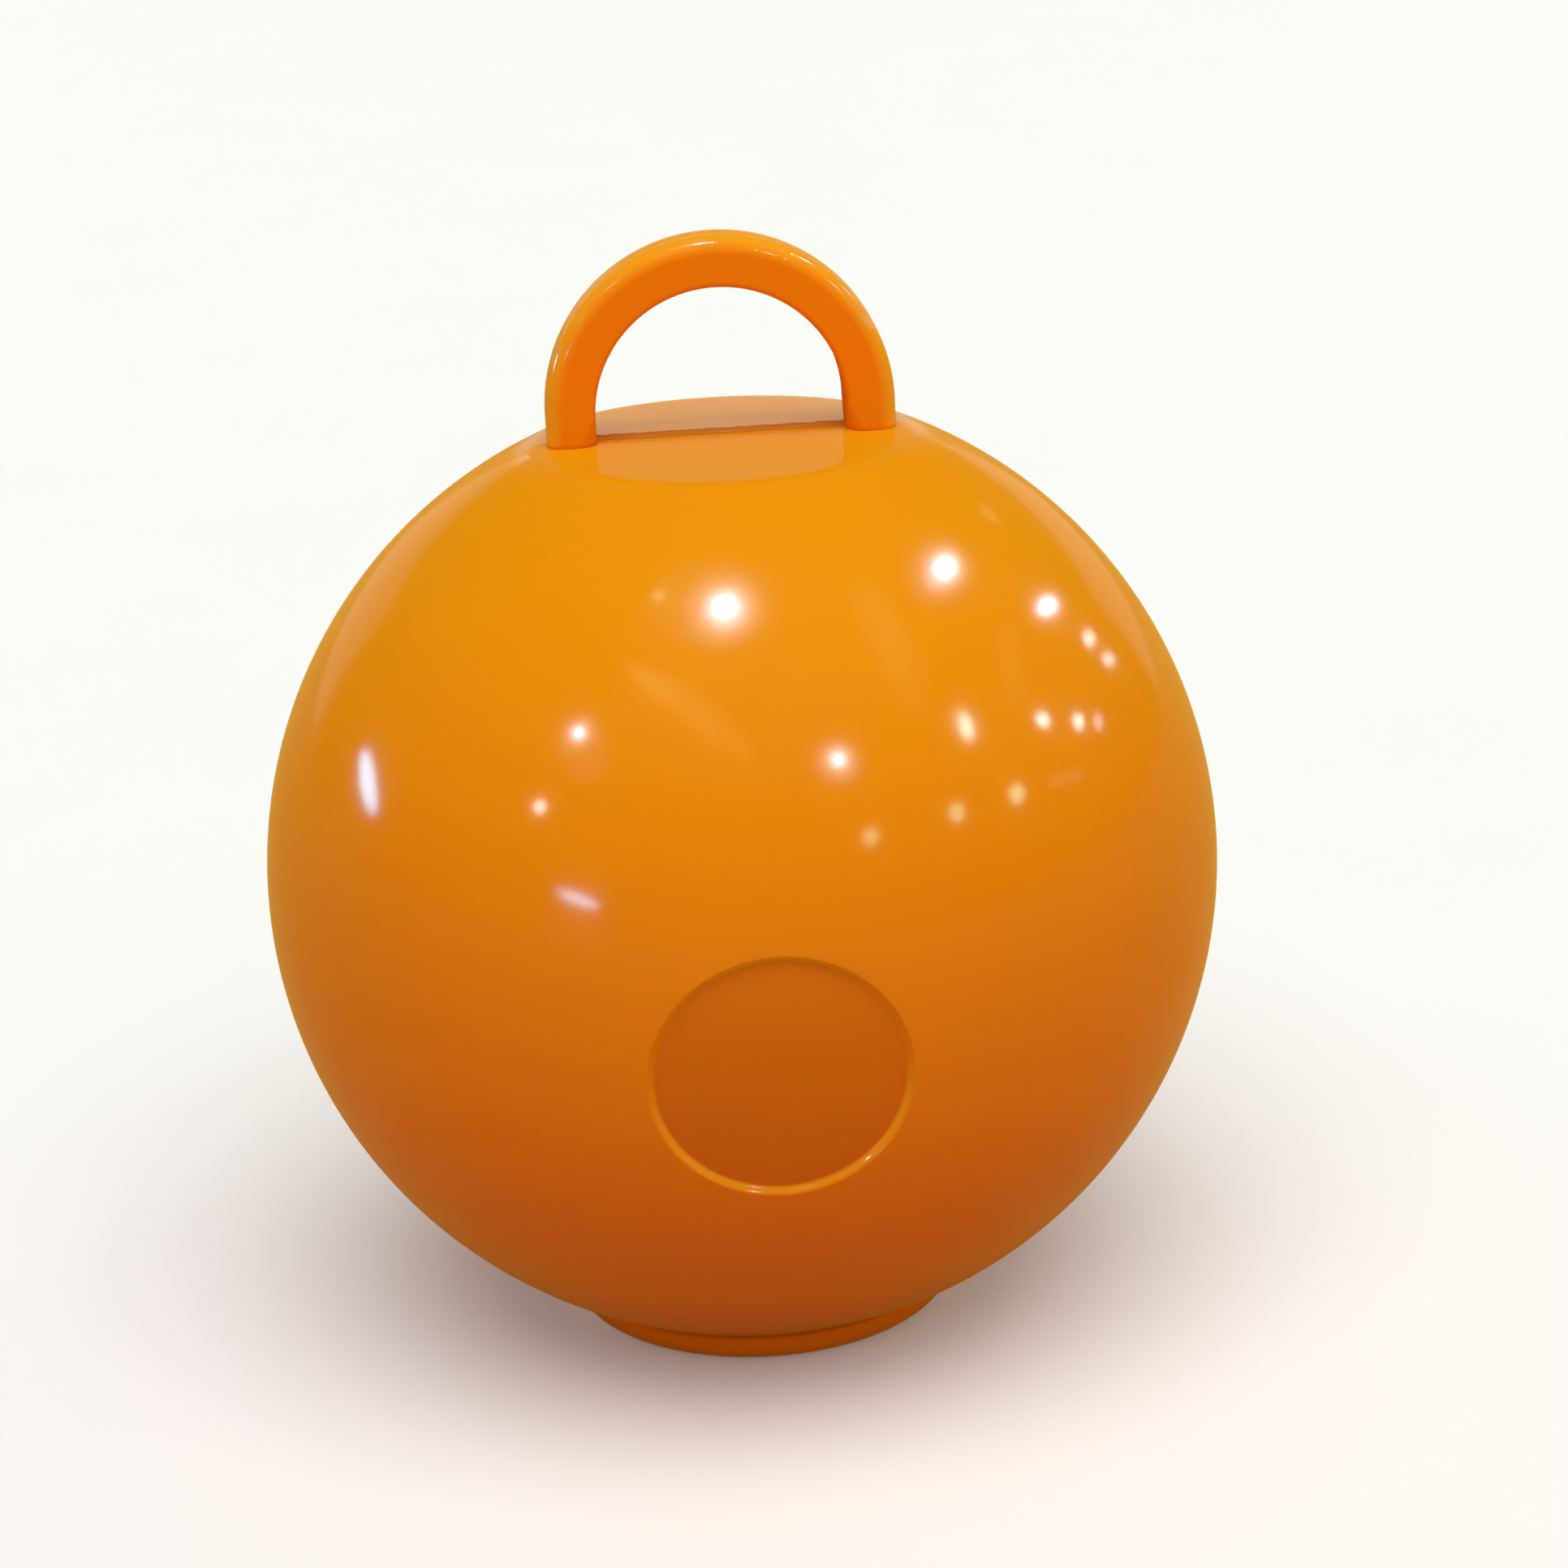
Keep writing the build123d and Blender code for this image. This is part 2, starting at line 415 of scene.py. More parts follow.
def ball_colour(place):
    """Deep orange low down, painted brighter and yellower towards the top as light, in soft clouds. Lower
    down it is painted in shade, redder and darker underneath, painted lighter in the foot and painted
    darker in the groove over the foot as shade. The badge's floor is a shade deeper, with a painted
    highlight on its lower edge, and a painted shadow lies in a band behind the weld line."""
    height = height_on(place)
    depth = place.add("ShaderNodeSeparateXYZ", None, {0: place}, "Y")
    flow = place.noise(flow_scale, 3.0) - 0.5
    # painted light: the orange turns brighter and yellower towards the top of the ball, where the overhead
    # light falls, in soft random clouds
    upper = (height.step(*top_light_heights) + flow * flow_share).between(deep_orange, top_lit_orange)
    wall_tone = height.step(*shading).between(shaded_orange, upper)
    # painted shade: redder and darker underneath, which also takes back the green that the limb glow adds
    # there
    wall_tone = height.step(*underside_shade_heights).between(underside_shade_orange, wall_tone)
    # painted light: the foot is painted lighter, against the shadow that the ball throws on it
    wall_tone = height.step(*foot_top).between(foot_painted_light, wall_tone)
    # painted shade: darker in the groove between the ball and the foot
    groove = height.step(*groove_bottom) * (1 - height.step(*groove_top))
    wall_tone = (groove * groove_shade_share).between(wall_tone, groove_shade_tone)
    middle = (0, -ball_r * np.cos(badge_drop), ball_z - ball_r * np.sin(badge_drop))
    off = place.add("ShaderNodeVectorMath", {"operation": "DISTANCE"}, {0: place, 1: middle}, "Value")
    on_floor = 1 - off.step(0.96 * badge_r, badge_r)
    # painted highlight: a golden band on the lower edge of the badge's recess, whose slope faces up to the
    # light
    on_lit_edge = off.step(0.97 * badge_r, badge_r) * (1 - off.step(badge_r, 1.04 * badge_r))
    lower_half = 1 - height.step(middle[2] - 0.5 * badge_r, middle[2] + 0.3 * badge_r)
    wall_tone = (on_floor * badge_floor_share).between(wall_tone, badge_floor_tone)
    wall_tone = (on_lit_edge * lower_half * badge_highlight_share).between(wall_tone, badge_edge_highlight)
    # painted shadow: a darker band on the crown just behind the weld line
    weld_shadowed = depth.step(*weld_shadow_front) * (1 - depth.step(*weld_shadow_back)) * height.step(*crown_bottom)
    return (weld_shadowed * weld_shadow_share).between(wall_tone, weld_shadow_tone)


ball_shine = 0.08
crown_shine = 0.35
crown_shine_bottom = (0.0468, 0.0474)


def ball_gloss(place):
    """A weak shine on the blown wall, and a fuller one on the crown, which the mould presses flat."""
    return ball_shine + height_on(place).step(*crown_shine_bottom) * (crown_shine - ball_shine)


limb_glow = {  # the soft light that a blown wall, a little clear, lets through where it is seen edge on
    "Sheen Weight": 0.33,
    "Sheen Roughness": 0.4,
    "Sheen Tint": (1.0, 0.8, 0.03, 1.0),
}
shell_orange = moulded_orange("shell_orange", ball_colour, ball_gloss, limb_glow)
ball = add_piece("ball", *ball_mesh())
ball.data.materials.append(shell_orange)
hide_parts("ball_shell")
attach(ball, "root")

# Ribbon loop
# The solid bar that stands on the crown and takes the ribbons. It is squeezed between the mould halves
# in one with the ball, so it has a flat front and back, round outer edges and a faint trimmed seam.
loop_r = 0.00764
leg_rise = 0.00134
bar_t = 0.00253  # a hair less than the solid's too
bar_w = 0.0033
bar_outer_edge_r = 0.00085
bar_inner_edge_r = 0.0003
bar_root_edge_r = 0.001  # the inner edges' radius at the foot of a leg
leg_rows, arch_rows = 14, 240
seam_depth = 0.00005
seam_width = 0.00012
seam_trim_share = 0.7  # of the seam's depth, which comes and goes along the bar
nick_height = 0.00004
nick_width = 0.00025
nick_share = 0.14  # of the bar's length
nick_inset_share = 0.3  # of the outer edges' radius, in from the front and the back


def uneven(count, seed, steps):
    """Smooth random values from 0 to 1: seeded random numbers, spread out over more points."""
    draws = np.random.default_rng(seed).random(steps)
    return np.interp(np.linspace(0, steps - 1, count), np.arange(steps), draws)


def bar_section(inner_edge_r):
    """Rectangle once round: half the thickness across, half the width through, each corner a quarter
    circle, with its own radius on the inner side. Gives the distances across and through, and the
    outward direction at each point."""
    angle = np.linspace(0, np.pi / 2, 13) + np.arange(4)[:, None] * np.pi / 2
    outward = np.stack([np.cos(angle), np.sin(angle)], axis=2)
    side = np.array([[1, 1], [-1, 1], [-1, -1], [1, -1]])[:, None]
    edge_r = np.where(side[..., :1] > 0, bar_outer_edge_r, inner_edge_r)
    middle = side * (np.array([bar_t, bar_w]) / 2 - edge_r)
    corner = np.concatenate([middle + edge_r * outward, outward], axis=2)
    share = np.linspace(0, 1, 9)[1:-1, None]
    flat = corner[:, -1:] * (1 - share) + np.roll(corner[:, :1], -1, axis=0) * share
    return np.concatenate([corner, flat], axis=1).reshape(-1, 4).T


def loop_rings():
    """Rings along the loop's line: up one leg from inside the crown, round the arch and down the other
    leg. Each ring is the bar's section, which goes over to one with rounder inner edges towards the
    crown, sunk a little in a narrow band where the mould halves met and raised by small nicks on its two
    outer edges."""
    spring_z = crown_z + leg_rise
    leg = np.linspace(-crown_t / 2, leg_rise, leg_rows)
    sweep = np.linspace(np.pi, 0, arch_rows)[1:-1]
    centre = np.concatenate([
        np.stack([np.full_like(leg, -loop_r), crown_z + leg], axis=1),
        np.stack([loop_r * np.cos(sweep), spring_z + loop_r * np.sin(sweep)], axis=1),
        np.stack([np.full_like(leg, loop_r), crown_z + leg], axis=1)[::-1],
    ])
    bearing = np.r_[np.full_like(leg, np.pi), sweep, np.zeros_like(leg)]
    outward = np.stack([np.cos(bearing), np.zeros_like(bearing), np.sin(bearing)], axis=1)
    count = len(centre)
    foot_share = np.clip((spring_z - centre[:, 1:]) / leg_rise, 0, 1)
    slim, stout = (bar_section(edge_r)[:, None] for edge_r in (bar_inner_edge_r, bar_root_edge_r))
    across, through, out_across, out_through = slim + foot_share * (stout - slim)
    seam = seam_depth * np.exp(-((through / seam_width) ** 2))
    trim = 1 - seam_trim_share + seam_trim_share * uneven(count, seed=3, steps=60)
    from_edge = np.abs(through) - bar_w / 2 + nick_inset_share * bar_outer_edge_r
    edge = np.exp(-((from_edge / nick_width) ** 2)) * (across > 0)
    nicks = nick_height * np.clip(uneven(count, seed=5, steps=150) - 1 + nick_share, 0, 1) / nick_share
    lift = nicks[:, None] * edge - trim[:, None] * seam
    line = np.stack([centre[:, 0], np.zeros(count), centre[:, 1]], axis=1)
    depth = np.array([0.0, 1.0, 0.0])
    return (
        line[:, None]
        + (across + lift * out_across)[..., None] * outward[:, None]
        + (through + lift * out_through)[..., None] * depth
    )


# Tones of the loop, with painted light and shade among them: darker towards the foot of each leg, yellower
# on the outer rim, darker in the crease.
bar_orange = (0.95, 0.2, 0.003)
root_painted_shade = (0.82, 0.205, 0.003)
rim_painted_light = (0.94, 0.37, 0.012)
crease_shade_tone = (0.6, 0.09, 0.002)
bar_flow_scale = 300.0
bar_flow_share = 0.15
crease_shade_share = 0.6
crease_height = 0.00022
crease_depth = 0.00004
root_height = 0.004
satin_scale = 400.0
satin_shine = 0.03
rim_shine = 0.08


def rim_share(place):
    """1 on the bar's outer side, falling to 0 on its front, its back and its inner side."""
    return place.add("ShaderNodeAttribute", {"attribute_name": "rim"}, None, "Fac")


def loop_colour(place):
    """Red-orange in the thick of the bar, painted darker towards the foot of each leg as shade, with
    painted light making its outer rim yellower, and painted shade deeper in the crease round the foot of
    each leg."""
    flow = place.noise(bar_flow_scale, 3.0) - 0.5
    height = height_on(place)
    # painted shade: the bar is painted darker towards the crown, taking back the light that the crown
    # throws up on the legs
    thick = height.step(crown_z, crown_z + root_height).between(root_painted_shade, bar_orange)
    # painted light: the outer rim, which faces the light, is painted yellower
    bar_tone = (rim_share(place) + flow * bar_flow_share).between(thick, rim_painted_light)
    # painted shade: darker in the crease round the foot of each leg
    crease = 1 - height.step(crown_z - crease_depth, crown_z + crease_height)
    return (crease * crease_shade_share).between(bar_tone, crease_shade_tone)


def satin_gloss(place):
    """Hardly any shine, in patches, as plastic has that was squeezed or trimmed."""
    return place.noise(satin_scale).step(0.3, 0.8) * satin_shine


def loop_gloss(place):
    """A faint shine: the bar is satin, with smoother patches, and its outer rim is polished by use."""
    return satin_gloss(place) + rim_share(place) * rim_shine


loop_orange = moulded_orange("loop_orange", loop_colour, loop_gloss)
ribbon_loop = closed_skin("ribbon_loop", loop_rings())
outer_side = np.tile(bar_section(bar_inner_edge_r)[2].clip(0, 1), len(loop_rings()))
rim = ribbon_loop.data.attributes.new("rim", "FLOAT", "POINT")
rim.data.foreach_set("value", np.r_[outer_side, 0, 0])
ribbon_loop.data.materials.append(loop_orange)
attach(ribbon_loop, "root")

# Weld line
# The low ridge across the crown, where the mould pinched the soft tube shut between the legs.
# It is trimmed by hand, so its crest is a little ragged. It is part of the shell's moulding.
pinch_w = 0.0007
pinch_h = 0.00025
weld_rows, weld_columns = 260, 28
crest_power = 1.6
ragged_share = 0.2  # of the ridge's height
wander_share = 0.1  # of its width
# painted shade: the ridge's colours are the crown's orange made darker and browner
weld_shade_brown = (0.48, 0.15, 0.02)
weld_shade_orange = (0.6, 0.19, 0.02)
weld_cloud_scale = 700.0


def weld_rings():
    """Upright ovals in a row from leg to leg, drawn in to a crest: the height over the crown is a sine
    to a power, uneven along the line, and the foot of the ridge is sunk as deep again."""
    along = np.linspace(-loop_r, loop_r, weld_rows)
    angle = np.linspace(0, 2 * np.pi, weld_columns, endpoint=False)
    crest = np.sign(np.sin(angle)) * np.abs(np.sin(angle)) ** crest_power
    height = pinch_h * (1 - ragged_share + ragged_share * uneven(weld_rows, seed=11, steps=60))
    wander = pinch_w * wander_share * (uneven(weld_rows, seed=13, steps=14) - 0.5)
    y = wander[:, None] - pinch_w / 2 * np.cos(angle)
    z = crown_z + height[:, None] * crest
    return np.stack([along[:, None] + np.zeros_like(y), y, z], axis=2)


def weld_colour(place):
    """The orange of the crown, painted darker and browner as shade on the ridge, in random clouds."""
    return place.noise(weld_cloud_scale, 3.0).between(weld_shade_brown, weld_shade_orange)


weld_orange = moulded_orange("weld_orange", weld_colour, satin_gloss)
weld_line = closed_skin("weld_line", weld_rings())
weld_line.data.materials.append(weld_orange)
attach(weld_line, "root")

# Base plug
# The cup with a flange that closes the mouth. It is injection-moulded in satin orange plastic,
# and a bead round its skirt snaps in above the mouth.
flange_t = 0.0008
flange_gap = 0.00015
flange_edge_r = 0.0002
skirt_length = 0.004
skirt_t = 0.0011
skirt_gap = 0.00005
bead_reach = 0.0003
bead_gap = 0.00005
bead_rise = 0.0009
gate_r = 0.0009
gate_h = 0.00012
gate_floor_share = 0.8  # of the gate mark's radius
plug_columns = 160
plug_dark = (0.58, 0.12, 0.004)
plug_light = (0.68, 0.16, 0.006)
plug_cloud_scale = 250.0
plug_patch_scale = 700.0
plug_roughness = 0.42
plug_patch_roughness = 0.12  # the most that a patch adds
spark_scale = 5000.0
spark_height = 0.00001
skirt_r = mouth_r - skirt_gap
cup_r = skirt_r - skirt_t
skirt_top_z = seat_depth + skirt_length


def plug_profile():
    """Half section of the plug, from the middle of the cup's floor over the skirt, the bead and the
    flange to the low spot in the middle of the underside where the plastic was fed in."""
    flange_r = seat_r - flange_gap
    underside = seat_depth - flange_t
    bead_z = land_z + bead_gap
    edge = (flange_r - flange_edge_r, underside + flange_edge_r)
    gate_floor_r = gate_r * gate_floor_share
    return joined(
        run((cup_r / 40, seat_depth), (cup_r, seat_depth), 6),
        run((cup_r, seat_depth), (cup_r, skirt_top_z), 4),
        run((cup_r, skirt_top_z), (skirt_r, skirt_top_z), 3),
        run((skirt_r, skirt_top_z), (skirt_r, bead_z + bead_rise), 2),
        run((skirt_r, bead_z + bead_rise), (skirt_r + bead_reach, bead_z + bead_reach), 3),
        run((skirt_r + bead_reach, bead_z + bead_reach), (skirt_r, bead_z), 3),
        run((skirt_r, bead_z), (skirt_r, seat_depth), 4),
        run((skirt_r, seat_depth), (flange_r, seat_depth), 3),
        run((flange_r, seat_depth), (flange_r, edge[1]), 2),
        arc(edge, flange_edge_r, 0, -np.pi / 2, 6),
        run((edge[0], underside), (gate_r, underside), 8),
        run((gate_r, underside), (gate_floor_r, underside + gate_h), 3),
        run((gate_floor_r, underside + gate_h), (gate_r / 20, underside + gate_h), 3),
    )


def satin_orange():
    """Satin pigmented plastic with a fine spark-eroded grain and a slight cloudiness."""
    material, shader, place = new_finish("plug_orange")
    cloud = place.noise(plug_cloud_scale, 3.0)
    grain = place.noise(spark_scale, 2.0).relief(spark_height)
    coat(
        shader,
        {
            "Base Color": cloud.between(plug_dark, plug_light),
            "Roughness": plug_roughness + place.noise(plug_patch_scale, 3.0) * plug_patch_roughness,
            "Normal": grain,
        },
        {"IOR": 1.5},
    )
    return material


base_plug = closed_skin("plug", turned(plug_profile(), plug_columns))
base_plug.data.materials.append(satin_orange())
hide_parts("base_plug")
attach(base_plug, "root")

# Sand ballast
# The loose dry sand that makes the ball a weight. It is poured in through the mouth, lies on the
# floor of the ball and in the plug's cup, and settles level, three quarters of the way up.
sand_level = 0.0082
sand_gap = 0.0001
sand_unevenness = 0.00025
long_waves, cross_waves, fine_waves = 900, 760, 1700  # radians to the metre
sand_columns = 160
grain_density = 2000.0  # grains to the metre
grain_relief = 0.0002
sand_roughness = 0.75
pale_grain_roughness = 0.2  # the most that a pale grain adds
dark_grain = (0.28, 0.19, 0.10)
pale_grain = (0.62, 0.50, 0.34)


def sand_rings():
    """Rings of the fill: its half section turned about the axis, with its level top dimpled by waves of
    a few millimetres that fade out towards the wall."""
    sand_r = ball_r - wall - sand_gap
    level_z = ball_z + sand_level
    rounding = inner_round_r + sand_gap
    clear_r = skirt_r + bead_reach + sand_gap
    clear_z = skirt_top_z + sand_gap
    level_r = np.sqrt(sand_r**2 - sand_level**2)
    corner_z = land_z + rounding
    corner_r = np.sqrt((sand_r - rounding) ** 2 - (corner_z - ball_z) ** 2)
    corner_angle = np.arctan2(corner_z - ball_z, corner_r)
    cup_side = cup_r - sand_gap
    top = run((level_r / 60, level_z), (level_r, level_z), 50)
    profile = joined(
        top,
        arc((0, ball_z), sand_r, np.arcsin(sand_level / sand_r), corner_angle, 40),
        arc((corner_r, corner_z), rounding, corner_angle, -np.pi / 2, 8),
        run((corner_r, land_z), (clear_r, land_z), 3),
        run((clear_r, land_z), (clear_r, clear_z), 3),
        run((clear_r, clear_z), (cup_side, clear_z), 3),
        run((cup_side, clear_z), (cup_side, seat_depth), 3),
        run((cup_side, seat_depth), (cup_side / 30, seat_depth), 6),
    )
    rings = turned(profile, sand_columns)
    x, y = rings[: len(top), :, 0], rings[: len(top), :, 1]
    fade = 1 - (np.hypot(x, y) / level_r) ** 8
    ripple = np.sin(long_waves * x + 1.3) * np.sin(cross_waves * y + 0.4)
    ripple = ripple + np.sin(fine_waves * y - long_waves * x)
    rings[: len(top), :, 2] += sand_unevenness * fade * (ripple / 2 - 1) / 2
    return rings


def dry_sand():
    """Grains about half a millimetre across, each its own shade of tan, standing up as little domes."""
    material, shader, place = new_finish("dry_sand")
    grains = {"Vector": place, "Scale": grain_density}
    shade = place.add("ShaderNodeTexVoronoi", None, grains, "Color")
    shade = place.add("ShaderNodeSeparateColor", None, {0: shade}, 0)
    dome = 1 - place.add("ShaderNodeTexVoronoi", None, grains, "Distance")
    coat(
        shader,
        {
            "Base Color": shade.between(dark_grain, pale_grain),
            "Roughness": sand_roughness + shade * pale_grain_roughness,
            "Normal": dome.relief(grain_relief),
        },
        {"IOR": 1.5},
    )
    return material


sand_ballast = closed_skin("sand", sand_rings())
sand_ballast.data.materials.append(dry_sand())
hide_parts("sand_ballast")
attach(sand_ballast, "root")

# Camera
# It stands eight ball radii from the middle of the ball, a little above it, and leans a little, so
# that the ball falls on the same place and size in the square frame as in the photograph.
frame_px = 1932
ball_px = Vector((915.2, 1059.0))
ball_r_px = 585.15
view_azimuth = np.radians(-3.1)
view_elevation = np.radians(19.3)
view_roll = np.radians(-2.93)
view_reach = 8.0  # distance in ball radii
focal_px = ball_r_px * np.sqrt(view_reach**2 - 1)

ball_middle = Vector((0, 0, ball_z))
view_back = Vector((
    np.sin(view_azimuth) * np.cos(view_elevation),
    -np.cos(view_azimuth) * np.cos(view_elevation),
    np.sin(view_elevation),
))
view_right = Vector((0, 0, 1)).cross(view_back).normalized()
view_turn = Matrix.Rotation(view_roll, 3, view_back)
view_right = view_turn @ view_right
view_up = view_back.cross(view_right)
lens = bpy.data.cameras.new("camera")
lens.lens = lens.sensor_width * focal_px / frame_px
lens.clip_start = ball_r / 10
lens.clip_end = ball_r * 400
camera = bpy.data.objects.new("camera", lens)
bpy.context.scene.collection.objects.link(camera)
straight = Matrix((view_right, view_up, view_back)).transposed()
off_centre = Vector((ball_px.x - frame_px / 2, frame_px / 2 - ball_px.y, -focal_px)).normalized()
aim = (straight @ off_centre).rotation_difference(-view_back).to_matrix()
camera.matrix_world = Matrix.Translation(ball_middle + view_back * view_reach * ball_r) @ (
    (aim @ straight).to_4x4()
)
bpy.context.scene.camera = camera

# Studio floor
# A plain pale sheet that the weight stands on and throws its shadow on.
floor_half = 2.5
paper_shade = (0.62, 0.62, 0.62)  # as it lights the weight
paper_grey = (0.87, 0.87, 0.87)  # as it is seen
paper_white = (0.9, 0.9, 0.9)
paper_glow = (0.12, 0.12, 0.12)
paper_scale = 40.0
floor_mesh = bpy.data.meshes.new("floor")
floor_mesh.from_pydata(
    [(-floor_half, -floor_half, 0), (floor_half, -floor_half, 0),
     (floor_half, floor_half, 0), (-floor_half, floor_half, 0)],
    [],
    [(0, 1, 2, 3)],
)
floor = bpy.data.objects.new("floor", floor_mesh)
bpy.context.scene.collection.objects.link(floor)
paper, paper_shader, paper_place = new_finish("floor_paper")
ray = {key: paper_place.add("ShaderNodeLightPath", None, None, f"Is {key} Ray")
       for key in ("Camera", "Glossy", "Transmission")}
seen = ray["Camera"] + ray["Glossy"] + ray["Transmission"]
pale = paper_place.noise(paper_scale, 4.0).between(paper_grey, paper_white)
coat(
    paper_shader,
    {
        "Base Color": seen.between(paper_shade, pale),
        "Emission Color": seen.between((0, 0, 0), paper_glow),
    },
    {"Roughness": 0.9, "Specular IOR Level": 0.1, "Emission Strength": 1.0},
)
floor_mesh.materials.append(paper)

# Studio light
# A wide soft light from overhead, and small ceiling lamps and windows, each hung where its reflection
# in the ball falls on one of the glints in the photograph. The room is bright behind and dim around.
white = (1.0, 0.82, 1.0)
cream = (1.0, 1.25, 1.0)
pearl = (0.4, 1.2, 1.0)
soft_white = (0.5, 1.2, 0.62)
amber = (0.6, 1.0, 0.4)
daylight = (0.25, 0.74, 1.0)
glints = [  # pixels across and down, pixels long and wide, lean in degrees, brightness, tint
    (893, 748, 25, 25, 0, 1.6, white),
    (893, 750, 58, 56, 0, 0.33, white),
    (890, 750, 100, 92, 0, 0.055, pearl),
    (878, 742, 150, 120, 20, 0.014, pearl),
    (1164, 700, 26, 18, -55, 1.5, white),
    (1162, 702, 56, 40, -55, 0.25, white),
    (1158, 704, 90, 70, -55, 0.03, pearl),
    (1290, 747, 26, 14, -40, 0.95, white),
    (1290, 748, 56, 34, -40, 0.04, pearl),
    (1342, 787, 14, 7, -60, 0.42, cream),
    (1366, 813, 14, 6, -30, 0.26, cream),
    (1190, 895, 34, 12, 75, 0.5, cream),
    (1190, 893, 56, 34, 75, 0.04, pearl),
    (1285, 887, 11, 9, 0, 0.65, cream),
    (1329, 889, 13, 5, 100, 0.56, cream),
    (1353, 889, 13, 4, 100, 0.2, cream),
    (1033, 936, 17, 17, 0, 1.0, white),
    (1032, 938, 52, 50, 0, 0.075, pearl),
    (713, 903, 10, 10, 0, 1.2, white),
    (714, 904, 44, 42, 0, 0.045, pearl),
    (720, 925, 84, 64, 60, 0.018, pearl),
    (665, 994, 4, 4, 0, 0.72, cream),
    (1253, 978, 20, 12, 110, 0.36, soft_white),
    (1179, 1001, 19, 14, 110, 0.28, soft_white),
    (1073, 1031, 19, 14, 110, 0.23, soft_white),
    (1302, 963, 9, 6, 120, 0.06, soft_white),
    (1326, 956, 9, 6, 120, 0.05, soft_white),
    (1218, 633, 22, 10, 30, 0.05, soft_white),
    (812, 734, 10, 8, 0, 0.1, soft_white),
    (453, 964, 78, 20, 78, 0.68, daylight),
    (712, 1108, 54, 9, 20, 0.48, daylight),
    (714, 1148, 66, 56, 0, 0.008, daylight),
    (850, 874, 210, 44, 37, 0.022, amber),
    (838, 864, 160, 24, 37, 0.024, amber),
    (806, 840, 64, 30, 37, 0.02, amber),
    (1100, 794, 190, 56, 67, 0.016, amber),
    (1092, 774, 130, 28, 67, 0.018, amber),
    (1246, 820, 110, 26, 84, 0.018, amber),
]
lamp_reach = 1.0
skin_slope = skin_roughness**2  # how far the skin's tiny facets lean
clear_mirror = 0.04  # share of light that clear plastic throws back straight on


def bounce(pixel):
    """Where a ray through a pixel meets the ball, as a direction from its middle, and how the ray goes
    on: the ray less twice its part along that direction."""
    aim_at = Vector((pixel[0] - frame_px / 2, frame_px / 2 - pixel[1], -focal_px))
    ray = (camera.matrix_world.to_3x3() @ aim_at).normalized()
    start = camera.matrix_world.translation - ball_middle
    along = start.dot(ray)
    reach = -along - np.sqrt(along**2 - start.length_squared + ball_r**2)
    outward = (start + ray * reach) / ball_r
    return outward, ray - 2 * ray.dot(outward) * outward


def ceiling_lamp(number, x_px, y_px, long_px, wide_px, lean, brightness, tint):
    """An oval lamp on the line that a ray through a pixel takes after it has met the ball, as wide as
    the rays through the ends of the glint are spread there. It is as bright as the glint, over the
    share that the skin reflects at that slant and that the lamp fills of the skin's haze."""
    pixel = np.array([x_px, y_px])
    way = np.array([np.cos(np.radians(lean)), np.sin(np.radians(lean))])
    over = np.array([-way[1], way[0]])
    outward, bounced = bounce(pixel)
    length = bounce(pixel + way * long_px / 2)[1] - bounce(pixel - way * long_px / 2)[1]
    width = bounce(pixel + over * wide_px / 2)[1] - bounce(pixel - over * wide_px / 2)[1]
    x_axis = (length - bounced * length.dot(bounced)).normalized()
    y_axis = bounced.cross(x_axis)
    sizes = np.array([length.length, abs(width.dot(y_axis))])
    filled = np.prod(1 / np.sqrt(1 + (4 * skin_slope / sizes) ** 2))
    slant = (1 - bounced.dot(outward)) ** 5
    mirrored = ball_shine * (clear_mirror + (1 - clear_mirror) * slant)
    light = bpy.data.lights.new(f"ceiling_lamp_{number}", "AREA")
    light.shape = "ELLIPSE"
    light.size, light.size_y = sizes * lamp_reach
    light.energy = brightness / (mirrored * filled) * np.pi * np.pi / 4 * np.prod(sizes * lamp_reach)
    light.color = tint
    lamp = bpy.data.objects.new(light.name, light)
    turn = Matrix((x_axis, y_axis, bounced)).transposed().to_4x4()
    lamp.matrix_world = Matrix.Translation(ball_middle + outward * ball_r + bounced * lamp_reach) @ turn
    lamp.visible_diffuse = False
    lamp.visible_camera = False
    bpy.context.scene.collection.objects.link(lamp)


for number, glint in enumerate(glints, 1):
    ceiling_lamp(number, *glint)

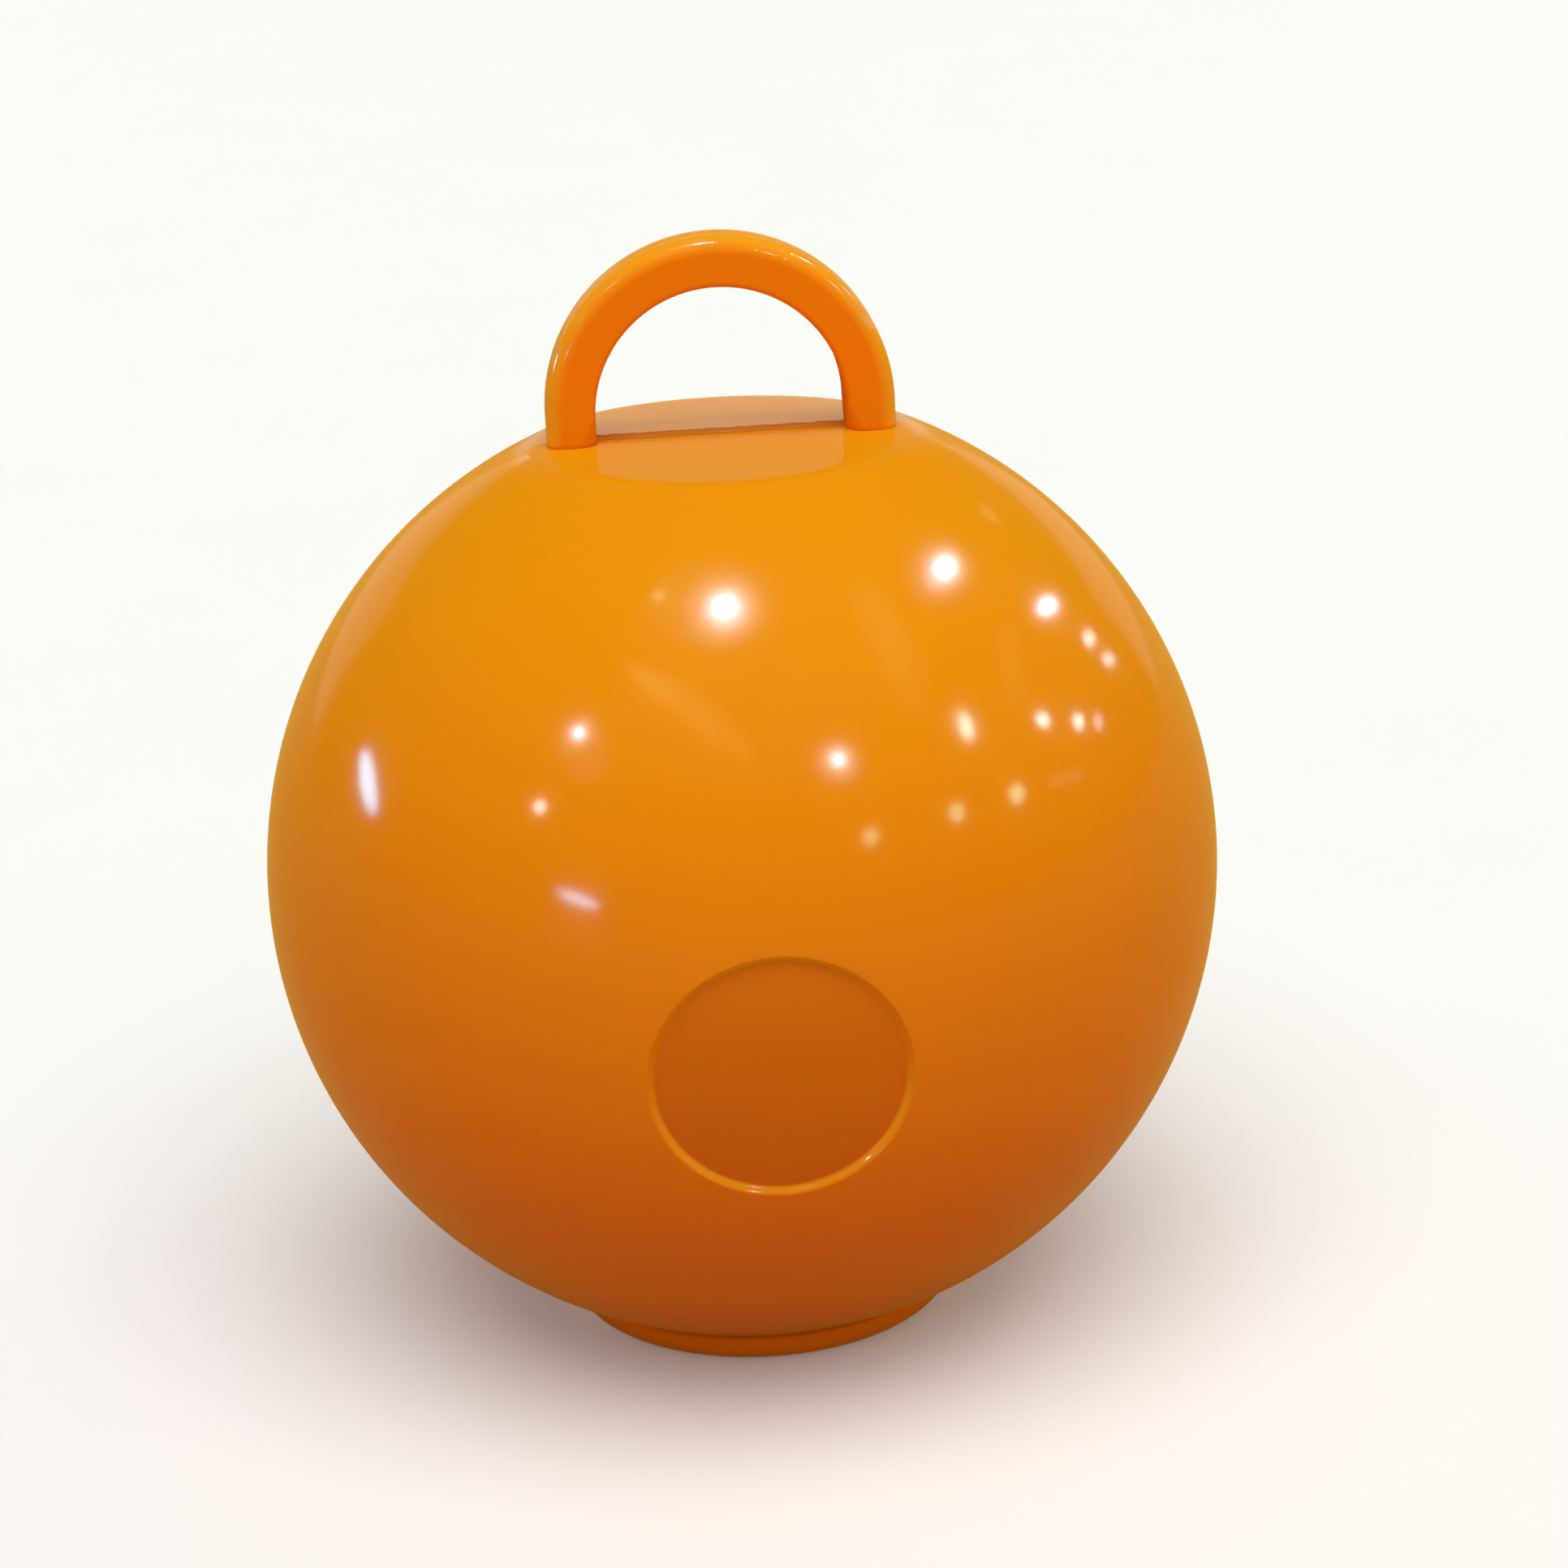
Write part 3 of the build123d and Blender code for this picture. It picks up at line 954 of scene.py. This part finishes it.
wall_long = 0.5  # pale stretches of wall behind the ball, which its upper edge mirrors
wall_shine = 2.4
wall_y = 0.8
pale_walls = [  # name, metres to the right and up, height
    ("left", -0.41, 0.15, 0.32),
    ("right", 0.51, 0.1, 0.24),
]
for wall_name, wall_x, wall_z, wall_high in pale_walls:
    wall_from = Vector((wall_x, wall_y, wall_z)).normalized()
    wall_light = bpy.data.lights.new(f"pale_wall_{wall_name}", "AREA")
    wall_light.shape = "RECTANGLE"
    wall_light.size, wall_light.size_y = wall_long, wall_high
    wall_light.energy = wall_shine * np.pi * wall_long * wall_high
    pale_wall = bpy.data.objects.new(wall_light.name, wall_light)
    wall_turn = wall_from.to_track_quat("Z", "Y").to_matrix().to_4x4()
    pale_wall.matrix_world = Matrix.Translation(ball_middle + wall_from * lamp_reach) @ wall_turn
    pale_wall.visible_diffuse = False
    pale_wall.visible_camera = False
    bpy.context.scene.collection.objects.link(pale_wall)

soft_from = Vector((0.03, -0.42, 0.9))
soft_light = bpy.data.lights.new("soft_overhead", "SUN")
soft_light.angle = np.radians(60)
soft_light.energy = 2.35
soft_lamp = bpy.data.objects.new("soft_overhead", soft_light)
soft_lamp.matrix_world = soft_from.to_track_quat("Z", "Y").to_matrix().to_4x4()
soft_lamp.visible_glossy = False
bpy.context.scene.collection.objects.link(soft_lamp)

dim_room = (0.14, 0.137, 0.134)
front_room = (0.6, 0.59, 0.58)
left_flank = (0.5, 0.47, 0.3)
right_flank = (0.62, 0.68, 0.22)
low_backdrop = (1.5, 1.5, 1.4)
high_backdrop = (0.42, 0.41, 0.4)
world = bpy.data.worlds.new("studio")
bpy.context.scene.world = world
world.use_nodes = True
sky = world.node_tree.nodes["Background"]
direction = Tone(world.node_tree, world.node_tree.nodes.new("ShaderNodeTexCoord").outputs["Generated"])
across = direction.add("ShaderNodeSeparateXYZ", None, {0: direction}, "X")
sides = direction.add("ShaderNodeSeparateXYZ", None, {0: direction}, "Y")
height = direction.add("ShaderNodeSeparateXYZ", None, {0: direction}, "Z")
front = (1 - sides.step(-0.6, 0.1)) * (1 - height.step(0.0, 0.5))
room = front.between(dim_room, front_room)
flank = (across * across).step(0.25, 0.8) * (1 - height.step(0.5, 0.9))
room = flank.between(room, across.step(-0.2, 0.2).between(left_flank, right_flank))
behind = sides.step(0.66, 0.79) * (1 - height.step(0.3, 0.55))
backdrop = behind.between(room, height.step(0.15, 0.29).between(low_backdrop, high_backdrop))
world.node_tree.links.new(backdrop.socket, sky.inputs["Color"])

bpy.context.scene.view_settings.view_transform = "Standard"
